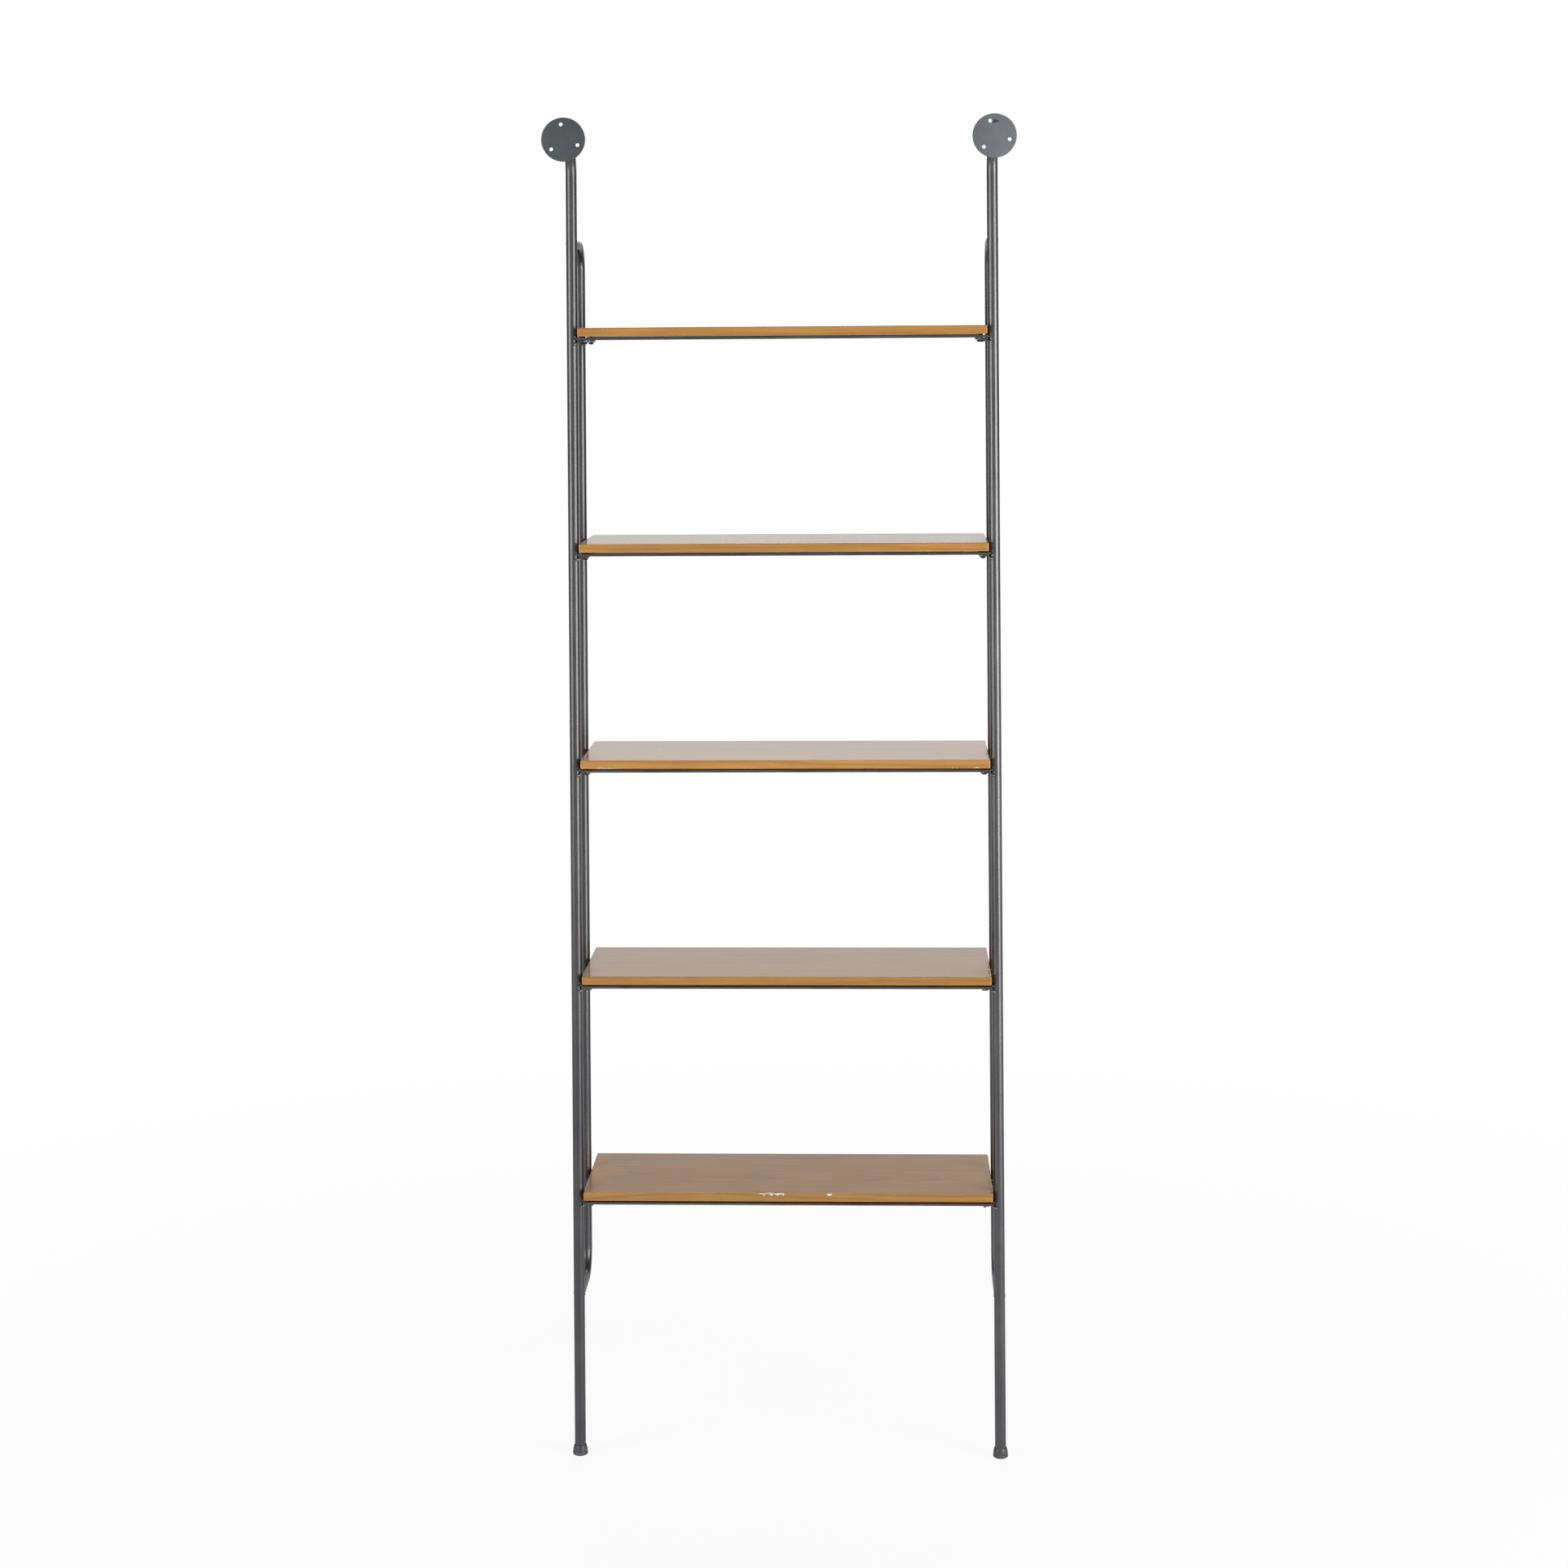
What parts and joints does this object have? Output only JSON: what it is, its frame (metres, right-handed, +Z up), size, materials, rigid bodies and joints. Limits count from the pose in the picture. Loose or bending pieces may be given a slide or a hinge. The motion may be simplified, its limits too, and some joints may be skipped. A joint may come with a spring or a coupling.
{
  "type": "ladder shelf",
  "caption": "Tall wall-fixed ladder shelf: bent round steel tube sides with front loops, wooden boards on flat-bar frames, round screw-on wall flanges and rubber foot caps.",
  "frame": {"origin": "on the floor, at the middle of the footprint: half-way between the two sides, and half-way between the wall face of the flanges and the front edge of the boards", "axes": "+Z up, +Y towards the wall that the flanges are screwed to, -Y into the room, +X to the right as seen from the room"},
  "size_m": [0.678, 0.281, 1.952],
  "materials": {
    "tube_steel": "clear-coated raw steel tube, satin, slightly mottled",
    "flange_steel": "clear-coated raw steel plate, blue-grey, matt to satin",
    "bar_steel": "clear-coated raw steel flat bar, darker, with weld beads at the tubes",
    "wood": "warm orange-brown lacquered wood with a satin sheen and fine long grain",
    "foot_rubber": "dark grey moulded rubber, matt",
    "screw_black": "black phosphated pan-head screw"
  },
  "bodies": {
    "root": {"left_upright": "tube_steel", "left_front_tube": "tube_steel", "left_wall_flange": "flange_steel", "left_foot_cap": "foot_rubber", "right_upright": "tube_steel", "right_front_tube": "tube_steel", "right_wall_flange": "flange_steel", "right_foot_cap": "foot_rubber", "board_1": "wood", "rear_crossbar_1": "bar_steel", "front_crossbar_1": "bar_steel", "left_side_bar_1": "bar_steel", "left_rear_screw_1": "screw_black", "left_front_screw_1": "screw_black", "right_side_bar_1": "bar_steel", "right_rear_screw_1": "screw_black", "right_front_screw_1": "screw_black", "board_2": "wood", "rear_crossbar_2": "bar_steel", "front_crossbar_2": "bar_steel", "left_side_bar_2": "bar_steel", "left_rear_screw_2": "screw_black", "left_front_screw_2": "screw_black", "right_side_bar_2": "bar_steel", "right_rear_screw_2": "screw_black", "right_front_screw_2": "screw_black", "board_3": "wood", "rear_crossbar_3": "bar_steel", "front_crossbar_3": "bar_steel", "left_side_bar_3": "bar_steel", "left_rear_screw_3": "screw_black", "left_front_screw_3": "screw_black", "right_side_bar_3": "bar_steel", "right_rear_screw_3": "screw_black", "right_front_screw_3": "screw_black", "board_4": "wood", "rear_crossbar_4": "bar_steel", "front_crossbar_4": "bar_steel", "left_side_bar_4": "bar_steel", "left_rear_screw_4": "screw_black", "left_front_screw_4": "screw_black", "right_side_bar_4": "bar_steel", "right_rear_screw_4": "screw_black", "right_front_screw_4": "screw_black", "board_5": "wood", "rear_crossbar_5": "bar_steel", "front_crossbar_5": "bar_steel", "left_side_bar_5": "bar_steel", "left_rear_screw_5": "screw_black", "left_front_screw_5": "screw_black", "right_side_bar_5": "bar_steel", "right_rear_screw_5": "screw_black", "right_front_screw_5": "screw_black"}
  },
  "joints": []
}
